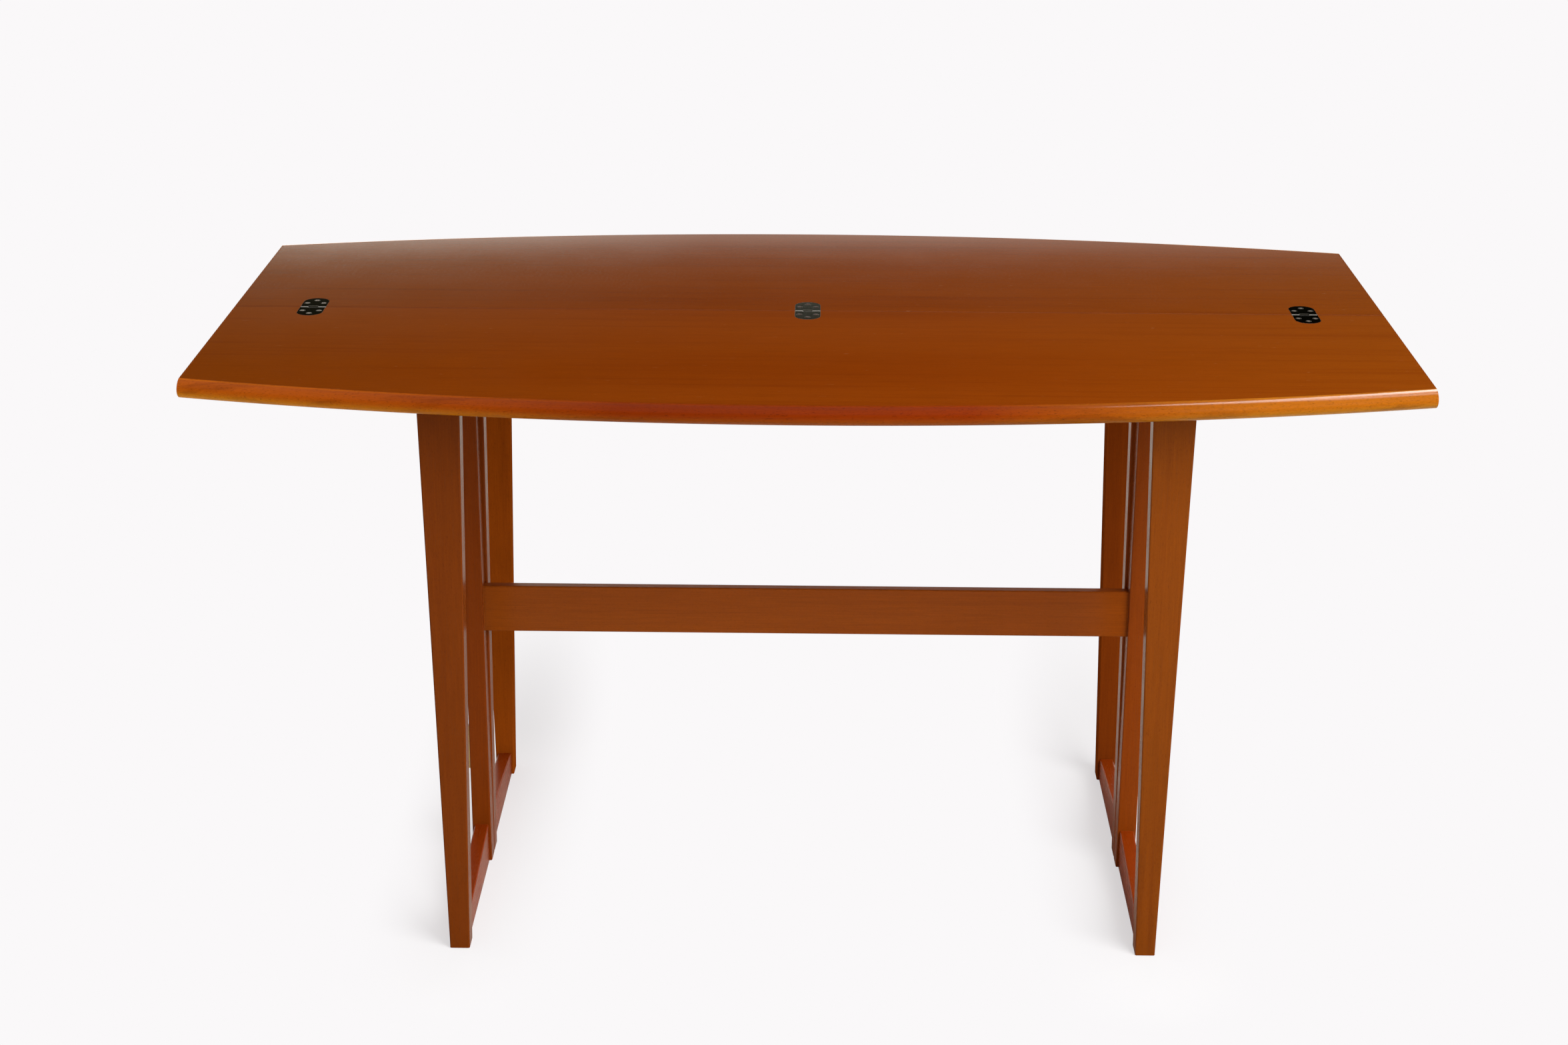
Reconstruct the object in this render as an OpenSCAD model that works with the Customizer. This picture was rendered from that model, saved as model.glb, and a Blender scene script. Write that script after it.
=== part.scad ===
// Flip-top console table: two bow-edged leaves joined by three flush link hinges,
// on a frame of two fixed half trestles with a stretcher and two swinging gates.
// Millimetres. X runs along the top, +Y points to the leaf that folds, +Z is up.
// The origin is on the floor, under the middle of the joint between the leaves.

/* [Top] */
// Length of the top
top_l = 1400; // [1300:10:1600]
// Depth of one leaf at the middle, from the joint to the nose of its lipping
leaf_depth = 400; // [370:5:460]
// How much shallower each leaf is at its ends
edge_bow = 83; // [40:1:100]
// Thickness of the leaves
top_t = 22; // [20:1:28]
// How far the solid lipping stands out from the panel
lipping_w = 15; // [12:1:20]
// Radius of the nose of the lipping
nose_r = 8; // [6:0.5:9]
// Thickness of the bands on the straight ends
band_t = 2; // [1:0.5:4]

/* [Link hinges] */
// Distance of the outer hinges from the ends of the top
hinge_inset = 96; // [60:2:160]
// Width of a hinge plate, whose far end is a half circle
plate_w = 31; // [29:1:36]
// Length of a hinge plate, from the joint to its round end
plate_l = 39.5; // [38:0.5:46]
// Thickness of a hinge plate
plate_t = 4.5; // [4.2:0.1:6]
// Depth of the hinge pins below the surface
pin_depth = 2.1; // [2:0.05:2.3]
// Radius of a hinge pin
pin_r = 1; // [0.8:0.1:1.1]
// Radius of the link round a pin
link_r = 1.85; // [1.6:0.05:1.9]
// Width of the link
link_w = 11.6; // [9:0.2:12.6]
// Distance of the two near screws from the middle of a plate
near_screw_x = 10; // [9:0.5:10.5]
// Distance of the two near screws from the joint
near_screw_y = 17; // [13:1:20]
// Distance of the far screw from the joint
far_screw_y = 29; // [26:1:31]
// Length of a screw in a hinge plate
plate_screw_l = 16; // [12:1:17]

/* [Frame] */
// Height of the table
table_h = 737; // [700:1:780]
// Distance of the middle of each trestle from the end of the top
trestle_inset = 282; // [240:2:340]
// Distance from the joint to the outer face of the legs
leg_y = 262; // [240:2:280]
// Depth of the legs and posts
leg_d = 28; // [26:1:34]
// Width of a leg at its head
leg_head_w = 50; // [40:1:60]
// Width of a leg at its foot
leg_foot_w = 24; // [20:1:32]
// Width of the posts
post_w = 24; // [22:1:32]
// How much wider a gate post is at its head, on the inner side
gate_post_flare = 6.5; // [0:0.5:10]
// Gap between a fixed post and its gate post
post_gap = 0.6; // [0.4:0.1:1]
// Thickness of the foot and top rails
rail_t = 18; // [16:1:20]
// Height of a foot rail at the post
foot_rail_post_h = 52; // [40:1:70]
// Height of a foot rail at the leg
foot_rail_leg_h = 32; // [28:1:40]
// Height of a top rail
top_rail_h = 45; // [38:1:60]
// Thickness of the stretcher
stretcher_t = 14; // [13:0.5:18]
// Height of the stretcher's section
stretcher_h = 61; // [45:1:80]
// Height of the stretcher's lower edge above the floor
stretcher_z = 320; // [250:5:400]
// Radius of the eased edges of the wood
ease_r = 2; // [1:0.5:3]

/* [Gate hinges] */
// Height of a butt hinge
butt_h = 60; // [50:2:76]
// Width of a hinge leaf, from the pin
butt_w = 22; // [20:0.5:23]
// Thickness of a hinge leaf
butt_t = 1.5; // [1.2:0.1:2]
// Radius of the knuckles
butt_r = 3; // [2.6:0.1:3.6]
// Radius of the hinge pin
butt_pin_r = 1.5; // [1.2:0.1:1.6]
// Height of the middle of the lower hinge
butt_low_z = 150; // [100:5:220]
// Height of the middle of the upper hinge
butt_high_z = 590; // [500:5:600]
// Distance of a butt hinge's screws from its pin
butt_screw_x = 13; // [10:0.5:15]
// Length of a screw in a butt hinge
butt_screw_l = 14; // [10:1:18]

/* [Dowels and screws] */
// Radius of a dowel
dowel_r = 4; // [3:0.5:4]
// Length of a dowel
dowel_l = 32; // [24:2:36]
// Distance of a dowel from the edge of a foot rail
foot_dowel_edge = 9; // [8:0.5:10]
// Distance of a dowel from the edge of a top rail
top_dowel_edge = 11; // [8:0.5:13]
// Distance of a dowel from the edge of the stretcher
stretcher_dowel_edge = 14; // [10:1:16]
// Distance of the first top screw from the joint
top_screw_near_y = 80; // [70:5:110]
// Distance of the second top screw from the joint
top_screw_far_y = 185; // [140:5:190]
// Length of a top screw under its head
top_screw_l = 34; // [30:1:36]
// Wood left in a top rail above the head of a top screw
top_screw_grip = 20; // [18:1:26]

/* [Fits] */
// Thickness of the glue line between a panel and its lipping
glue_line = 0.1; // [0.05:0.05:0.2]
// Gap between the two leaves when they lie open
joint_gap = 0.4; // [0.2:0.1:0.6]
// Gap between the faces of the two leaves when they are folded
fold_gap = 0.3; // [0.2:0.05:0.5]
// Radial gap round a pin in a part that turns on it
turn_fit = 0.05; // [0.03:0.01:0.08]
// Radial gap round a pin, dowel or screw that stays fixed
seat_fit = 0.03; // [0.02:0.01:0.05]
// Gap round a plate in its recess, and between hinge knuckles
side_fit = 0.15; // [0.1:0.05:0.2]
// Gap round a link in its pocket
link_fit = 0.25; // [0.2:0.05:0.35]
// Gap between the head of a gate and the leaf that it carries
gate_head_gap = 0.4; // [0.2:0.1:0.8]
// Gap between the feet of a gate and the floor
gate_foot_gap = 0.3; // [0.1:0.1:0.8]

/* [Hidden] */

veneer_brown = [0.47, 0.21, 0.05];
beech_orange = [0.66, 0.32, 0.08];
leg_brown = [0.44, 0.20, 0.05];
dowel_pale = [0.80, 0.66, 0.45];
plate_grey = [0.30, 0.29, 0.27];
steel_grey = [0.72, 0.72, 0.70];
brass_yellow = [0.72, 0.58, 0.30];

// Facet counts: wide arcs, turned parts and eased wood edges
arc_fn = 720;
turn_fn = 48;
ease_fn = 24;
// How far the web of a knuckle runs into its hinge leaf
weld = 0.01;
// How far a cut runs past the surface that it opens
past = 1;

// The bowed edge is an arc through the middle and the ends of the leaf
flat_mid = leaf_depth - lipping_w - glue_line;
bow_r = (pow(top_l / 2, 2) + pow(edge_bow, 2)) / (2 * edge_bow);
bow_centre_y = flat_mid - bow_r;
bow_half_angle = asin((top_l / 2 + lipping_w) / bow_r);

// The lipping's section: two wide arcs that run into the nose without a break
nose_x = lipping_w - nose_r;
shoulder_r = (pow(nose_x, 2) + pow(top_t / 2, 2) - pow(nose_r, 2)) / (top_t - 2 * nose_r);
nose_touch_x = nose_x + nose_r * nose_x / (shoulder_r - nose_r);

// The frame under the top
trestle_x = top_l / 2 - trestle_inset;
under_z = table_h - top_t;
gate_head_z = under_z - gate_head_gap;
post_face_y = post_gap / 2;
rail_start_y = post_face_y + leg_d;
rail_end_y = leg_y - leg_d;
top_rail_z = under_z - top_rail_h;

// The pins lie as far from the joint as from the plane midway between the folded faces,
// so each leaf stays on its own side of a plane that turns about its pin
hinge_x = top_l / 2 - hinge_inset;
hinge_xs = [-hinge_x, 0, hinge_x];
pin_offset = pin_depth + fold_gap / 2;
knuckle_r = min(pin_offset - joint_gap / 2, pin_depth);
pocket_y = pin_offset + link_r + link_fit;
pocket_w = link_w + 2 * link_fit;
link_pin_l = plate_w - 2;

// The upper edges of the joint are beveled until they clear that plane
bevel_from_side = pin_offset - joint_gap / 2 - sqrt(pow(pin_offset, 2) - pow(pin_depth, 2));
bevel_from_top = pin_depth - sqrt(pow(pin_offset, 2) - pow(pin_offset - joint_gap / 2, 2));
bevel_room = 0.15;
joint_bevel = max(bevel_from_side, bevel_from_top) + bevel_room;

// Countersunk screws: three in a hinge plate, three in a leaf of a butt hinge
plate_screw_sites = [[-near_screw_x, near_screw_y], [near_screw_x, near_screw_y], [0, far_screw_y]];
plate_head_r = 3.5;
plate_shank_r = 1.75;
butt_head_r = 3;
butt_shank_r = 1.5;
butt_screw_pitch = butt_h / 3;
head_rim = 0.3;
head_room = 0.15;
cross_l = 1.1;
cross_w = 0.8;
cross_depth = 1;

// The pin of a butt hinge stands just outside the posts
butt_side_gap = 0.2;
butt_proud = 0.1;
butt_x = trestle_x + post_w / 2 + butt_r + butt_side_gap;
butt_face_y = post_face_y - butt_proud;
butt_zs = [butt_low_z, butt_high_z];
knuckle_l = butt_h / 3;
butt_cap_r = butt_pin_r + 1.1;
butt_cap_t = 1.2;

// Top screws, with their heads sunk in the rails
top_screw_ys = [top_screw_near_y, top_screw_far_y];
top_screw_r = 2.2;
top_head_r = 4.5;
top_head_t = 3;
counterbore_r = top_head_r + 1;
tip_room = 0.5;
top_screw_tip_z = under_z - top_screw_grip + top_screw_l;

// Dowels: heights in the foot rail at either end, in the top rail and in the stretcher
dowel_ease = 1;
foot_post_zs = [foot_dowel_edge, foot_rail_post_h - foot_dowel_edge];
foot_leg_zs = [foot_dowel_edge, foot_rail_leg_h - foot_dowel_edge];
top_rail_zs = [top_rail_z + top_dowel_edge, under_z - top_dowel_edge];
stretcher_top_z = stretcher_z + stretcher_h;
stretcher_zs = [stretcher_z + stretcher_dowel_edge, stretcher_top_z - stretcher_dowel_edge];
stretcher_y = -(post_face_y + leg_d / 2);

// Plan shapes

module rounded_rect(w, d, r = ease_r) {
    square([w - 2 * r, d], center = true);
    square([w, d - 2 * r], center = true);
    for (x = [-1, 1], y = [-1, 1])
        translate([x * (w / 2 - r), y * (d / 2 - r)]) circle(r = r, $fn = ease_fn);
}

// Plan of the panel of a leaf on the +Y side, drawn in at its ends
module leaf_plan(end_inset) {
    intersection() {
        translate([-top_l / 2 + end_inset, joint_gap / 2])
            square([top_l - 2 * end_inset, leaf_depth]);
        translate([0, bow_centre_y]) circle(r = bow_r, $fn = arc_fn);
    }
}

// Plan of a hinge plate, grown by a gap for its recess
module plate_plan(gap = 0) {
    r = plate_w / 2 + gap;
    end_y = plate_l - plate_w / 2;
    translate([-r, 0]) square([2 * r, end_y]);
    translate([0, end_y]) circle(r = r, $fn = turn_fn * 2);
}

// Turned and joined small parts

// A countersunk screw, its head flush with z = 0 and its point down
module wood_screw(head_r, shank_r, l) {
    neck_z = head_rim + head_r - shank_r;
    difference() {
        rotate_extrude($fn = turn_fn)
            polygon([[0, 0], [head_r, 0], [head_r, -head_rim], [shank_r, -neck_z],
                [shank_r, 2 * shank_r - l], [0, -l]]);
        for (a = [0, 90])
            rotate([0, 0, a])
                translate([-head_r * cross_l / 2, -cross_w / 2, -cross_depth])
                    cube([head_r * cross_l, cross_w, cross_depth + past]);
    }
}

// The hole that it sits in: countersink and shank
module screw_hole(head_r, shank_r, l) {
    r = head_r + head_room;
    s = shank_r + seat_fit;
    rotate_extrude($fn = turn_fn)
        polygon([[0, past], [r, past], [r, -head_rim], [s, -head_rim - r + s], [s, -l - tip_room],
            [0, -l - tip_room]]);
}

module dowel() {
    end = dowel_l / 2;
    tip_r = dowel_r - dowel_ease;
    rotate_extrude($fn = turn_fn)
        polygon([[0, -end], [tip_r, -end], [dowel_r, dowel_ease - end], [dowel_r, end - dowel_ease],
            [tip_r, end], [0, end]]);
}

module dowel_bore() {
    l = dowel_l + 2 * tip_room;
    translate([0, 0, -l / 2]) cylinder(r = dowel_r + seat_fit, h = l, $fn = turn_fn);
}

// Where the dowels of one trestle half go: two at each end of its foot and top rails.
// They lie along Y, half in the rail and half in the upright.
module at_rail_dowels() {
    for (z = concat(foot_post_zs, top_rail_zs))
        translate([trestle_x, rail_start_y, z]) rotate([90, 0, 0]) children();
    for (z = concat(foot_leg_zs, top_rail_zs))
        translate([trestle_x, rail_end_y, z]) rotate([90, 0, 0]) children();
}

// The dowels between the right end of the stretcher and its post lie along X
module at_stretcher_dowels() {
    for (z = stretcher_zs)
        translate([trestle_x - post_w / 2, stretcher_y, z]) rotate([0, 90, 0]) children();
}

// Where the screws of the link hinges go in the leaf on the +Y side
module at_plate_screws(xs) {
    for (x = xs, site = plate_screw_sites)
        translate([x + site[0], site[1], table_h]) children();
}

// Where the screws of a right gate's butt hinges go, on the +Y side
module at_butt_screws() {
    for (z = butt_zs, k = [-1, 0, 1])
        translate([butt_x - butt_screw_x, butt_face_y, z + k * butt_screw_pitch])
            rotate([90, 0, 0]) children();
}

// The top, drawn on the +Y side

// The wedge that bevels the upper edge of a leaf along the joint
module joint_bevel_cut() {
    translate([-top_l / 2 - past, joint_gap / 2, table_h])
        rotate([90, 0, 90])
            linear_extrude(top_l + 2 * past)
                polygon([[-past, past], [-past, -joint_bevel - past],
                    [joint_bevel + past, past]]);
}

module leaf_panel() {
    difference() {
        translate([0, 0, under_z]) linear_extrude(top_t) leaf_plan(band_t);
        joint_bevel_cut();
        for (x = hinge_xs)
            translate([x, 0, table_h - plate_t]) linear_extrude(plate_t + past) plate_plan(side_fit);
        at_plate_screws(hinge_xs) screw_hole(plate_head_r, plate_shank_r, plate_screw_l);
    }
}

module leaf_band() {
    difference() {
        intersection() {
            translate([0, 0, under_z]) linear_extrude(top_t) leaf_plan(0);
            translate([top_l / 2 - band_t, 0, under_z]) cube([band_t, leaf_depth, top_t]);
        }
        joint_bevel_cut();
    }
}

// Section of the lipping: flat against the panel, a bull nose outside
module lipping_section() {
    intersection() {
        union() {
            intersection() {
                translate([0, top_t / 2 - shoulder_r]) circle(r = shoulder_r, $fn = turn_fn * 2);
                translate([0, shoulder_r - top_t / 2]) circle(r = shoulder_r, $fn = turn_fn * 2);
                translate([0, -top_t / 2]) square([nose_touch_x, top_t]);
            }
            translate([nose_x, 0]) circle(r = nose_r, $fn = turn_fn);
        }
        translate([0, -top_t / 2]) square([lipping_w, top_t]);
    }
}

module lipping() {
    intersection() {
        translate([0, bow_centre_y, under_z + top_t / 2])
            rotate([0, 0, 90 - bow_half_angle])
                rotate_extrude(angle = 2 * bow_half_angle, $fn = arc_fn)
                    translate([bow_r + glue_line, 0]) lipping_section();
        translate([-top_l / 2, 0, under_z]) cube([top_l, leaf_depth, top_t]);
    }
}

// Link hinges, drawn on the +Y side

// A plate is flush with the leaf. Its edge at the joint is rounded about the pin,
// and a pocket through it takes half of the link.
module hinge_plate(x) {
    translate([x, 0, table_h])
        difference() {
            union() {
                translate([0, 0, -plate_t]) linear_extrude(plate_t)
                    intersection() {
                        plate_plan();
                        translate([-plate_w / 2, pin_offset]) square([plate_w, plate_l]);
                    }
                translate([-plate_w / 2, pin_offset - knuckle_r, -plate_t])
                    cube([plate_w, knuckle_r, plate_t - pin_depth]);
                translate([-plate_w / 2, pin_offset, -pin_depth]) rotate([0, 90, 0])
                    cylinder(r = knuckle_r, h = plate_w, $fn = turn_fn);
            }
            translate([-pocket_w / 2, -past, -plate_t - past])
                cube([pocket_w, pocket_y + past, plate_t + 2 * past]);
            translate([-plate_w / 2 - past, pin_offset, -pin_depth]) rotate([0, 90, 0])
                cylinder(r = pin_r + seat_fit, h = plate_w + 2 * past, $fn = turn_fn);
            for (site = plate_screw_sites)
                translate([site[0], site[1], 0])
                    screw_hole(plate_head_r, plate_shank_r, plate_t + past);
        }
}

module link_pin(x) {
    translate([x - link_pin_l / 2, pin_offset, table_h - pin_depth]) rotate([0, 90, 0])
        cylinder(r = pin_r, h = link_pin_l, $fn = turn_fn);
}

// A link is a short bar with a bore for each pin, rounded about both
module hinge_link(x) {
    translate([x - link_w / 2, 0, table_h - pin_depth])
        difference() {
            union() {
                translate([0, -pin_offset, -link_r]) cube([link_w, 2 * pin_offset, 2 * link_r]);
                for (y = [-pin_offset, pin_offset])
                    translate([0, y, 0]) rotate([0, 90, 0]) cylinder(r = link_r, h = link_w, $fn = turn_fn);
            }
            for (y = [-pin_offset, pin_offset])
                translate([-past, y, 0]) rotate([0, 90, 0])
                    cylinder(r = pin_r + turn_fit, h = link_w + 2 * past, $fn = turn_fn);
        }
}

module plate_screws() {
    at_plate_screws(hinge_xs) wood_screw(plate_head_r, plate_shank_r, plate_screw_l);
}

// Trestles, drawn for the right end on the +Y side

// A wide bar with eased edges, one side of it along the line from foot_x to head_x.
// It lies on the inner side of that line: side is 1 for the outer line and -1 for the inner one.
module slanting_bar(foot_x, head_x, foot_z, head_z, side) {
    w = 3 * leg_head_w;
    tilt = atan((head_x - foot_x) / (head_z - foot_z));
    translate([foot_x, 0, foot_z]) rotate([0, tilt, 0])
        translate([-side * w / 2, 0, -leg_d]) linear_extrude(table_h + leg_d) rounded_rect(w, leg_d);
}

// An upright is what two slanting bars share. The pairs hold the X of its inner and outer sides.
module upright(foot_xs, head_xs, foot_z, head_z) {
    intersection() {
        slanting_bar(foot_xs[0], head_xs[0], foot_z, head_z, -1);
        slanting_bar(foot_xs[1], head_xs[1], foot_z, head_z, 1);
        translate([-leg_head_w, -leg_d, foot_z]) cube([2 * leg_head_w, 2 * leg_d, head_z - foot_z]);
    }
}

module leg(foot_z, head_z) {
    difference() {
        translate([trestle_x, leg_y - leg_d / 2, 0])
            upright([-leg_foot_w / 2, leg_foot_w / 2], [-leg_head_w / 2, leg_head_w / 2], foot_z, head_z);
        at_rail_dowels() dowel_bore();
    }
}

// The foot rail stands on the floor and is lower at the leg than at the post.
// It is what a level bar with eased lower edges shares with a sloping one with eased upper edges.
module foot_rail(foot_z) {
    run = rail_end_y - rail_start_y;
    h = foot_rail_post_h;
    slope = atan((h - foot_rail_leg_h) / run);
    difference() {
        intersection() {
            translate([trestle_x, rail_end_y, foot_z + h]) rotate([90, 0, 0])
                linear_extrude(run) rounded_rect(rail_t, 2 * h);
            translate([trestle_x, rail_end_y, foot_rail_leg_h]) rotate([90 - slope, 0, 0])
                translate([0, -h, -h]) linear_extrude(run + 2 * h) rounded_rect(rail_t, 2 * h);
        }
        at_rail_dowels() dowel_bore();
    }
}

// A top rail carries the leaf. Its head is cut square there, and its lower edges are eased.
module top_rail(head_z) {
    difference() {
        translate([trestle_x, rail_end_y, 0]) rotate([90, 0, 0])
            linear_extrude(rail_end_y - rail_start_y)
                intersection() {
                    translate([0, top_rail_z + top_rail_h]) rounded_rect(rail_t, 2 * top_rail_h);
                    translate([-rail_t / 2, top_rail_z]) square([rail_t, head_z - top_rail_z]);
                }
        at_rail_dowels() dowel_bore();
    }
}

// The hole for a top screw in a fixed top rail and the leaf above it
module top_screw_hole() {
    head_z = under_z - top_screw_grip;
    translate([0, 0, top_rail_z - past])
        cylinder(r = counterbore_r, h = head_z - top_rail_z + past, $fn = turn_fn);
    translate([0, 0, head_z - past])
        cylinder(r = top_screw_r + seat_fit, h = top_screw_tip_z - head_z + past + tip_room, $fn = turn_fn);
}

// Where the top screws go at the right end of the fixed leaf
module at_top_screws() {
    for (y = top_screw_ys)
        translate([trestle_x, -y, 0]) children();
}

// The shallow mortises in a post for the leaves of its butt hinges
module butt_mortises() {
    x = butt_x - butt_w - side_fit;
    for (z = butt_zs)
        translate([x, -past, z - butt_h / 2 - side_fit])
            cube([butt_w + past, past + butt_face_y + butt_t, butt_h + 2 * side_fit]);
}

// A post may flare on its inner side towards its head
module post(flare, foot_z, head_z) {
    outer_x = post_w / 2;
    difference() {
        translate([trestle_x, post_face_y + leg_d / 2, 0])
            upright([-outer_x, outer_x], [-outer_x - flare, outer_x], foot_z, head_z);
        at_rail_dowels() dowel_bore();
        butt_mortises();
        at_butt_screws() screw_hole(butt_head_r, butt_shank_r, butt_screw_l);
    }
}

// Butt hinges, drawn for the right gate on the +Y side

// A hinge leaf with knuckles at the given thirds of its height
module butt_leaf(thirds, bore_fit) {
    web_x = butt_r + side_fit;
    for (z = butt_zs)
        translate([butt_x, 0, z - butt_h / 2])
            difference() {
                union() {
                    translate([-butt_w, butt_face_y, 0]) cube([butt_w - web_x, butt_t, butt_h]);
                    for (k = thirds)
                        translate([0, 0, k * knuckle_l + side_fit / 2]) {
                            translate([-web_x - weld, butt_face_y, 0])
                                cube([web_x + weld, butt_t, knuckle_l - side_fit]);
                            cylinder(r = butt_r, h = knuckle_l - side_fit, $fn = turn_fn);
                        }
                }
                translate([0, 0, -past])
                    cylinder(r = butt_pin_r + bore_fit, h = butt_h + 2 * past, $fn = turn_fn);
                for (k = [-1, 0, 1])
                    translate([-butt_screw_x, butt_face_y, butt_h / 2 + k * butt_screw_pitch])
                        rotate([90, 0, 0]) screw_hole(butt_head_r, butt_shank_r, butt_screw_l);
            }
}

module butt_screws() {
    at_butt_screws() wood_screw(butt_head_r, butt_shank_r, butt_screw_l);
}

// A pin with a flat head that rests on the upper knuckle
module butt_pins() {
    for (z = butt_zs)
        translate([butt_x, 0, z - butt_h / 2])
            rotate_extrude($fn = turn_fn)
                polygon([[0, 0], [butt_pin_r, 0], [butt_pin_r, butt_h], [butt_cap_r, butt_h],
                    [butt_cap_r, butt_h + butt_cap_t / 2], [butt_cap_r / 2, butt_h + butt_cap_t],
                    [0, butt_h + butt_cap_t]]);
}

// Mirrors for the other leaf and the other end
module front() {
    mirror([0, 1, 0]) children();
}
module left() {
    mirror([1, 0, 0]) children();
}

// The fixed leaf and what belongs to it

module front_leaf() {
    color(veneer_brown)
        difference() {
            front() leaf_panel();
            at_top_screws() top_screw_hole();
            left() at_top_screws() top_screw_hole();
        }
}

module front_lipping() {
    color(beech_orange) front() lipping();
}
module front_left_band() {
    color(veneer_brown) front() left() leaf_band();
}
module front_right_band() {
    color(veneer_brown) front() leaf_band();
}

// The folding leaf and what belongs to it

module rear_leaf() {
    color(veneer_brown) leaf_panel();
}
module rear_lipping() {
    color(beech_orange) lipping();
}
module rear_left_band() {
    color(veneer_brown) left() leaf_band();
}
module rear_right_band() {
    color(veneer_brown) leaf_band();
}

// The three link hinges

module left_front_plate() {
    color(plate_grey) front() hinge_plate(-hinge_x);
}
module left_rear_plate() {
    color(plate_grey) hinge_plate(-hinge_x);
}
module left_link() {
    color(plate_grey) hinge_link(-hinge_x);
}
module middle_front_plate() {
    color(plate_grey) front() hinge_plate(0);
}
module middle_rear_plate() {
    color(plate_grey) hinge_plate(0);
}
module middle_link() {
    color(plate_grey) hinge_link(0);
}
module right_front_plate() {
    color(plate_grey) front() hinge_plate(hinge_x);
}
module right_rear_plate() {
    color(plate_grey) hinge_plate(hinge_x);
}
module right_link() {
    color(plate_grey) hinge_link(hinge_x);
}
module front_link_pins() {
    color(steel_grey) front() for (x = hinge_xs) link_pin(x);
}
module rear_link_pins() {
    color(steel_grey) for (x = hinge_xs) link_pin(x);
}
module front_plate_screws() {
    color(steel_grey) front() plate_screws();
}
module rear_plate_screws() {
    color(steel_grey) plate_screws();
}

// The fixed trestle halves, the stretcher and their fastenings

module fixed_post() {
    difference() {
        front() post(0, 0, under_z);
        at_stretcher_dowels() dowel_bore();
    }
}
module right_front_leg() {
    color(leg_brown) front() leg(0, under_z);
}
module left_front_leg() {
    color(leg_brown) left() front() leg(0, under_z);
}
module right_fixed_post() {
    color(leg_brown) fixed_post();
}
module left_fixed_post() {
    color(leg_brown) left() fixed_post();
}
module right_foot_rail() {
    color(leg_brown) front() foot_rail(0);
}
module left_foot_rail() {
    color(leg_brown) left() front() foot_rail(0);
}
module fixed_top_rail() {
    difference() {
        front() top_rail(under_z);
        at_top_screws() top_screw_hole();
    }
}
module right_top_rail() {
    color(leg_brown) fixed_top_rail();
}
module left_top_rail() {
    color(leg_brown) left() fixed_top_rail();
}
module stretcher() {
    half_l = trestle_x - post_w / 2;
    color(leg_brown)
        difference() {
            translate([-half_l, stretcher_y, stretcher_z + stretcher_h / 2]) rotate([90, 0, 90])
                linear_extrude(2 * half_l) rounded_rect(stretcher_t, stretcher_h);
            at_stretcher_dowels() dowel_bore();
            left() at_stretcher_dowels() dowel_bore();
        }
}
module stretcher_dowels() {
    color(dowel_pale) {
        at_stretcher_dowels() dowel();
        left() at_stretcher_dowels() dowel();
    }
}
module right_frame_dowels() {
    color(dowel_pale) front() at_rail_dowels() dowel();
}
module left_frame_dowels() {
    color(dowel_pale) left() front() at_rail_dowels() dowel();
}

// A pan-headed screw up through a top rail into the fixed leaf
module top_screw() {
    translate([0, 0, under_z - top_screw_grip])
        rotate_extrude($fn = turn_fn)
            polygon([[0, -top_head_t], [top_head_r / 2, -top_head_t], [top_head_r, -top_head_t / 3],
                [top_head_r, 0], [top_screw_r, 0], [top_screw_r, top_screw_l - 2 * top_screw_r],
                [0, top_screw_l]]);
}
module top_screws() {
    color(steel_grey) {
        at_top_screws() top_screw();
        left() at_top_screws() top_screw();
    }
}

// The swinging gates

module right_gate_leg() {
    color(leg_brown) leg(gate_foot_gap, gate_head_z);
}
module left_gate_leg() {
    color(leg_brown) left() leg(gate_foot_gap, gate_head_z);
}
module gate_post() {
    post(gate_post_flare, gate_foot_gap, gate_head_z);
}
module right_gate_post() {
    color(leg_brown) gate_post();
}
module left_gate_post() {
    color(leg_brown) left() gate_post();
}
module right_gate_foot_rail() {
    color(leg_brown) foot_rail(gate_foot_gap);
}
module left_gate_foot_rail() {
    color(leg_brown) left() foot_rail(gate_foot_gap);
}
module right_gate_top_rail() {
    color(leg_brown) top_rail(gate_head_z);
}
module left_gate_top_rail() {
    color(leg_brown) left() top_rail(gate_head_z);
}
module right_gate_dowels() {
    color(dowel_pale) at_rail_dowels() dowel();
}
module left_gate_dowels() {
    color(dowel_pale) left() at_rail_dowels() dowel();
}

// The gates' butt hinges: two knuckles on the post's leaf, one on the gate's

module right_post_butts() {
    color(brass_yellow) front() butt_leaf([0, 2], seat_fit);
}
module left_post_butts() {
    color(brass_yellow) left() front() butt_leaf([0, 2], seat_fit);
}
module right_gate_butts() {
    color(brass_yellow) butt_leaf([1], turn_fit);
}
module left_gate_butts() {
    color(brass_yellow) left() butt_leaf([1], turn_fit);
}
module right_butt_pins() {
    color(steel_grey) butt_pins();
}
module left_butt_pins() {
    color(steel_grey) left() butt_pins();
}
module right_post_butt_screws() {
    color(brass_yellow) front() butt_screws();
}
module left_post_butt_screws() {
    color(brass_yellow) left() front() butt_screws();
}
module right_gate_butt_screws() {
    color(brass_yellow) butt_screws();
}
module left_gate_butt_screws() {
    color(brass_yellow) left() butt_screws();
}

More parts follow.
